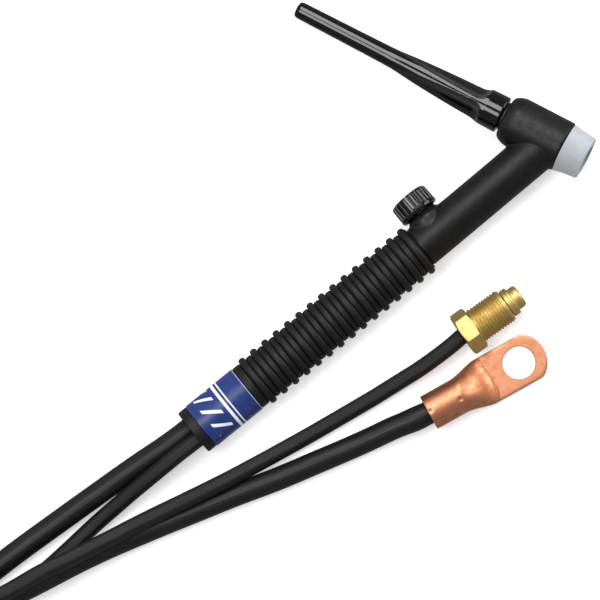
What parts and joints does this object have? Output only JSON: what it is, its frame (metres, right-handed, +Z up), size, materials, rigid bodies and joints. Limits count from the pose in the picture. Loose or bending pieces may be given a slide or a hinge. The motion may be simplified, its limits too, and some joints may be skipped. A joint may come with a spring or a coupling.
{
  "type": "tig torch",
  "caption": "Gas-cooled TIG welding torch with ribbed handle, gas valve, long back cap, power cable with ring lug and gas hose with threaded nut.",
  "frame": {"origin": "centre of the base of the torch without its leads, on the surface it lies on", "axes": "+X along the handle towards the head, +Y towards the back cap, +Z up from the surface"},
  "size_m": [0.5606, 0.1897, 0.0376],
  "materials": {
    "handle_rubber": "matt grained rubber with half-round ribs",
    "label_blue": "satin printed film",
    "black_moulding": "satin moulded plastic",
    "gloss_black": "polished moulded plastic",
    "white_ptfe": "smooth semi-gloss",
    "seal_rubber": "matt",
    "cord_jacket": "satin extruded jacket",
    "tie_strap": "woven hook-and-loop strap",
    "brass": "machined, bright",
    "copper": "bright drawn copper"
  },
  "bodies": {
    "torch": {"handle_sleeve": "handle_rubber", "label_band": "label_blue", "rear_block": "brass", "rear_tube": "copper", "power_ferrule": "copper", "conductor": "copper", "gas_barb": "brass", "hose_ferrule": "brass", "head_shell": "black_moulding", "neck_tube": "copper", "valve_body": "brass", "head_core": "brass", "cup_gasket": "white_ptfe", "power_cable_out": "cord_jacket", "power_cable_return": "cord_jacket", "power_cable_coil": "cord_jacket", "gas_hose_out": "cord_jacket", "gas_hose_return": "cord_jacket", "gas_hose_coil": "cord_jacket", "coil_tie_a": "tie_strap", "coil_tie_b": "tie_strap", "gas_nipple": "brass", "nipple_ferrule": "brass", "ring_lug": "copper", "lug_conductor": "copper"},
    "cap_seal": {"cap_o_ring": "seal_rubber"},
    "cap": {"back_cap": "gloss_black", "cap_insert": "brass"},
    "valve_seal": {"stem_o_ring": "seal_rubber"},
    "valve": {"valve_knob": "gloss_black", "valve_stem": "brass"},
    "nut": {"gas_nut": "brass"}
  },
  "joints": [
    {"name": "cap_travel", "type": "slide", "parent": "torch", "child": "cap_seal", "axis": [-0.3883, 0.9186, -0.0739], "range_m": [0, 0.0065]},
    {"name": "cap_turn", "type": "hinge", "parent": "cap_seal", "child": "cap", "pos_m": [0.08171, -0.02539, 0.01062], "axis": [-0.3883, 0.9186, -0.0739], "range_deg": [0, 2340]},
    {"name": "knob_travel", "type": "slide", "parent": "torch", "child": "valve_seal", "axis": [-0.014, 0.9967, -0.0802], "range_m": [0, 0.0012]},
    {"name": "knob_turn", "type": "hinge", "parent": "valve_seal", "child": "valve", "pos_m": [0.02809, -0.0345, 0.01136], "axis": [-0.014, 0.9967, -0.0802], "range_deg": [0, 540]},
    {"name": "nut_spin", "type": "hinge", "parent": "torch", "child": "nut", "pos_m": [0.00876, -0.0868, 0.0094], "axis": [0.9979, -0.0645, 0], "continuous": true}
  ],
  "couplings": [
    {"joint": "cap_turn", "follows": "cap_travel", "rad_per_m": 6283.2},
    {"joint": "knob_turn", "follows": "knob_travel", "rad_per_m": 7853.9}
  ]
}
